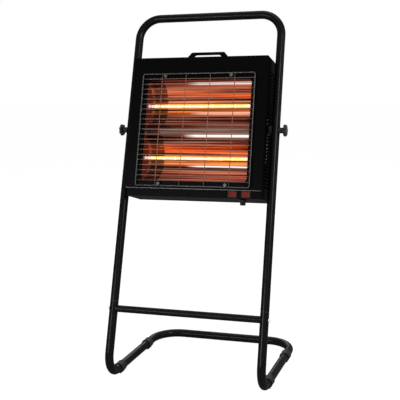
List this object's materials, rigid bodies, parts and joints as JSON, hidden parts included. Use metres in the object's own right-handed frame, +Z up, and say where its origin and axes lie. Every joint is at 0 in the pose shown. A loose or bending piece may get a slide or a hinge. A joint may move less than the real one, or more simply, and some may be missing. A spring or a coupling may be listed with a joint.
{
  "type": "infrared workshop heater",
  "caption": "Black infrared workshop heater: a slatted box head with halogen lamps in faceted reflectors behind a wire guard, tilting in a leaning bent-tube stand.",
  "frame": {"origin": "middle of the footprint on the floor, under the feet", "axes": "+Z up, the heated front faces -Y, +X is the viewer's right when facing the front"},
  "size_m": [0.5194, 0.4312, 1.0627],
  "materials": {
    "stand_paint": "satin black powder coat",
    "casing_paint": "satin black powder coat on sheet steel",
    "foot_rubber": "matt black rubber",
    "zinc_steel": "bright zinc-plated steel",
    "black_screw": "blackened steel",
    "nylon": "black nylon",
    "knob_plastic": "black moulded plastic",
    "polished_aluminium": "polished aluminium",
    "quartz": "clear quartz glass",
    "tungsten": "glowing tungsten",
    "ceramic": "white steatite ceramic",
    "chromed_wire": "bright chromed wire",
    "switch_plastic": "black switch plastic",
    "red_rocker": "translucent red plastic",
    "gland_nylon": "black nylon",
    "terminal_plastic": "white terminal block plastic",
    "wire_insulation": "silicone-glass wire sleeving"
  },
  "bodies": {
    "stand": {"base_frame": "stand_paint", "crossbar": "stand_paint", "crossbar_plugs": "zinc_steel", "crossbar_screws": "zinc_steel", "foot_sleeve_front_left": "foot_rubber", "foot_sleeve_front_right": "foot_rubber", "foot_sleeve_rear_left": "foot_rubber", "foot_sleeve_rear_right": "foot_rubber", "inner_saddle_left": "nylon", "inner_saddle_right": "nylon", "joint_screws": "zinc_steel", "outer_saddle_left": "nylon", "outer_saddle_right": "nylon", "pivot_bush_left": "zinc_steel", "pivot_bush_right": "zinc_steel", "upper_frame": "stand_paint"},
    "head": {"back_cover": "casing_paint", "back_cover_screws": "black_screw", "casing": "casing_paint", "control_strip": "casing_paint", "earth_stud": "zinc_steel", "end_plate_left": "polished_aluminium", "end_plate_right": "polished_aluminium", "front_panel": "casing_paint", "gland_body": "gland_nylon", "gland_lock_nut": "gland_nylon", "gland_nut": "gland_nylon", "guard": "chromed_wire", "guard_nuts": "zinc_steel", "guard_screws": "chromed_wire", "guard_spacers": "chromed_wire", "handle": "casing_paint", "handle_nuts": "zinc_steel", "handle_screws": "black_screw", "lamp_caps_lower": "ceramic", "lamp_caps_upper": "ceramic", "lamp_filament_lower": "tungsten", "lamp_filament_upper": "tungsten", "lamp_holder_lower_left": "ceramic", "lamp_holder_lower_right": "ceramic", "lamp_holder_upper_left": "ceramic", "lamp_holder_upper_right": "ceramic", "lamp_tube_lower": "quartz", "lamp_tube_upper": "quartz", "pivot_plate_left": "zinc_steel", "pivot_plate_right": "zinc_steel", "reflector_lower": "polished_aluminium", "reflector_upper": "polished_aluminium", "switch_housing_left": "switch_plastic", "switch_housing_right": "switch_plastic", "terminal_block": "terminal_plastic", "terminal_block_screws": "black_screw", "wiring": "wire_insulation"},
    "knob_left": {"knob_left": "knob_plastic", "knob_stud_left": "zinc_steel"},
    "knob_right": {"knob_right": "knob_plastic", "knob_stud_right": "zinc_steel"},
    "rocker_left": {"rocker_left": "red_rocker"},
    "rocker_right": {"rocker_right": "red_rocker"}
  },
  "joints": [
    {"name": "head_tilt", "type": "hinge", "parent": "stand", "child": "head", "pos_m": [0, 0.00429, 0.71167], "axis": [1, 0, 0], "range_deg": [-30, 45]},
    {"name": "knob_left_turn", "type": "hinge", "parent": "head", "child": "knob_left", "pos_m": [-0.252, 0.00429, 0.71167], "axis": [-1, 0, 0], "range_deg": [0, 720]},
    {"name": "knob_right_turn", "type": "hinge", "parent": "head", "child": "knob_right", "pos_m": [0.252, 0.00429, 0.71167], "axis": [1, 0, 0], "range_deg": [0, 720]},
    {"name": "rocker_left_press", "type": "hinge", "parent": "head", "child": "rocker_left", "pos_m": [0.121, -0.08857, 0.53652], "axis": [0, 0.2706, 0.9627], "range_deg": [-18, 0]},
    {"name": "rocker_right_press", "type": "hinge", "parent": "head", "child": "rocker_right", "pos_m": [0.1605, -0.08857, 0.53652], "axis": [0, 0.2706, 0.9627], "range_deg": [-18, 0]}
  ]
}
